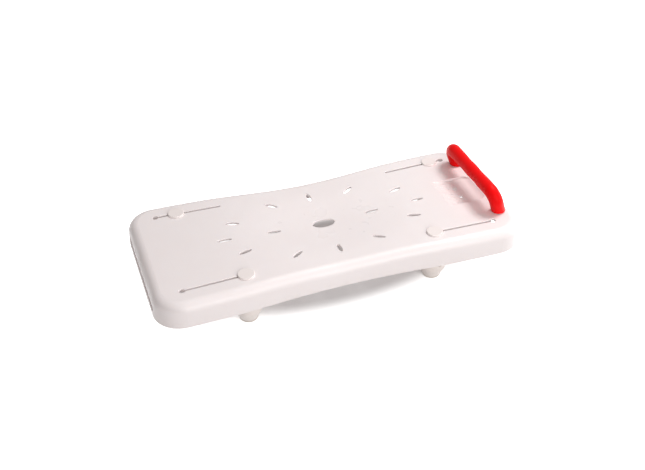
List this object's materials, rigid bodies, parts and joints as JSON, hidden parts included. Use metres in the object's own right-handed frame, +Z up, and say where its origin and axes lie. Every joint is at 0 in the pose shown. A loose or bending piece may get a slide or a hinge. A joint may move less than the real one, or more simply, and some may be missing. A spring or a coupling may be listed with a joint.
{
  "type": "bath transfer board",
  "caption": "Moulded transfer board that lies across a bath, with drain slots, a soap dish, an end grab handle and screw-clamped legs that slide to suit the width of the bath.",
  "frame": {"origin": "centre of the box around the board, on the surface its legs stand on", "axes": "+X along the board towards the grab handle, +Y across it towards the far side, +Z up"},
  "size_m": [0.69, 0.306, 0.151],
  "materials": {
    "seat_plastic": "white moulded polypropylene, satin gloss",
    "grip_plastic": "red soft-touch plastic, satin",
    "cap_plastic": "cream nylon, satin",
    "leg_plastic": "cream nylon, satin",
    "foot_rubber": "light soft rubber, matt",
    "soft_rubber": "soft rubber, matt",
    "stainless_steel": "stainless steel, machined",
    "insert_brass": "turned brass"
  },
  "bodies": {
    "board": {"seat_board": "seat_plastic", "grab_handle": "grip_plastic", "handle_gasket_near": "soft_rubber", "handle_insert_near": "insert_brass", "handle_washer_near": "stainless_steel", "handle_screw_near": "stainless_steel", "handle_gasket_far": "soft_rubber", "handle_insert_far": "insert_brass", "handle_washer_far": "stainless_steel", "handle_screw_far": "stainless_steel"},
    "slider_near_left": {"clamp_bolt_near_left": "stainless_steel", "head_cap_near_left": "cap_plastic"},
    "washer_near_left": {"clamp_washer_near_left": "stainless_steel"},
    "leg_near_left": {"leg_near_left": "leg_plastic", "leg_insert_near_left": "insert_brass", "foot_tip_near_left": "foot_rubber"},
    "slider_far_left": {"clamp_bolt_far_left": "stainless_steel", "head_cap_far_left": "cap_plastic"},
    "washer_far_left": {"clamp_washer_far_left": "stainless_steel"},
    "leg_far_left": {"leg_far_left": "leg_plastic", "leg_insert_far_left": "insert_brass", "foot_tip_far_left": "foot_rubber"},
    "slider_near_right": {"clamp_bolt_near_right": "stainless_steel", "head_cap_near_right": "cap_plastic"},
    "washer_near_right": {"clamp_washer_near_right": "stainless_steel"},
    "leg_near_right": {"leg_near_right": "leg_plastic", "leg_insert_near_right": "insert_brass", "foot_tip_near_right": "foot_rubber"},
    "slider_far_right": {"clamp_bolt_far_right": "stainless_steel", "head_cap_far_right": "cap_plastic"},
    "washer_far_right": {"clamp_washer_far_right": "stainless_steel"},
    "leg_far_right": {"leg_far_right": "leg_plastic", "leg_insert_far_right": "insert_brass", "foot_tip_far_right": "foot_rubber"}
  },
  "joints": [
    {"name": "near_left_slide", "type": "slide", "parent": "board", "child": "slider_near_left", "axis": [0.9994, 0.0349, 0], "range_m": [-0.1125, 0.0055]},
    {"name": "near_left_drop", "type": "slide", "parent": "slider_near_left", "child": "washer_near_left", "axis": [0, 0, -1], "range_m": [0, 0.003]},
    {"name": "near_left_turn", "type": "hinge", "parent": "washer_near_left", "child": "leg_near_left", "pos_m": [-0.17957, -0.10688, 0.046], "axis": [0, 0, -1], "range_deg": [0, 720]},
    {"name": "far_left_slide", "type": "slide", "parent": "board", "child": "slider_far_left", "axis": [0.9994, -0.0349, 0], "range_m": [-0.039, 0.079]},
    {"name": "far_left_drop", "type": "slide", "parent": "slider_far_left", "child": "washer_far_left", "axis": [0, 0, -1], "range_m": [0, 0.003]},
    {"name": "far_left_turn", "type": "hinge", "parent": "washer_far_left", "child": "leg_far_left", "pos_m": [-0.25303, 0.10945, 0.046], "axis": [0, 0, -1], "range_deg": [0, 720]},
    {"name": "near_right_slide", "type": "slide", "parent": "board", "child": "slider_near_right", "axis": [0.9994, -0.0349, 0], "range_m": [-0.0015, 0.1165]},
    {"name": "near_right_drop", "type": "slide", "parent": "slider_near_right", "child": "washer_near_right", "axis": [0, 0, -1], "range_m": [0, 0.003]},
    {"name": "near_right_turn", "type": "hinge", "parent": "washer_near_right", "child": "leg_near_right", "pos_m": [0.17557, -0.10674, 0.046], "axis": [0, 0, -1], "range_deg": [0, 720]},
    {"name": "far_right_slide", "type": "slide", "parent": "board", "child": "slider_far_right", "axis": [0.9994, 0.0349, 0], "range_m": [-0.092, 0.026]},
    {"name": "far_right_drop", "type": "slide", "parent": "slider_far_right", "child": "washer_far_right", "axis": [0, 0, -1], "range_m": [0, 0.003]},
    {"name": "far_right_turn", "type": "hinge", "parent": "washer_far_right", "child": "leg_far_right", "pos_m": [0.26602, 0.1099, 0.046], "axis": [0, 0, -1], "range_deg": [0, 720]}
  ],
  "couplings": [
    {"joint": "near_left_turn", "follows": "near_left_drop", "rad_per_m": 4188.8},
    {"joint": "far_left_turn", "follows": "far_left_drop", "rad_per_m": 4188.8},
    {"joint": "near_right_turn", "follows": "near_right_drop", "rad_per_m": 4188.8},
    {"joint": "far_right_turn", "follows": "far_right_drop", "rad_per_m": 4188.8}
  ]
}
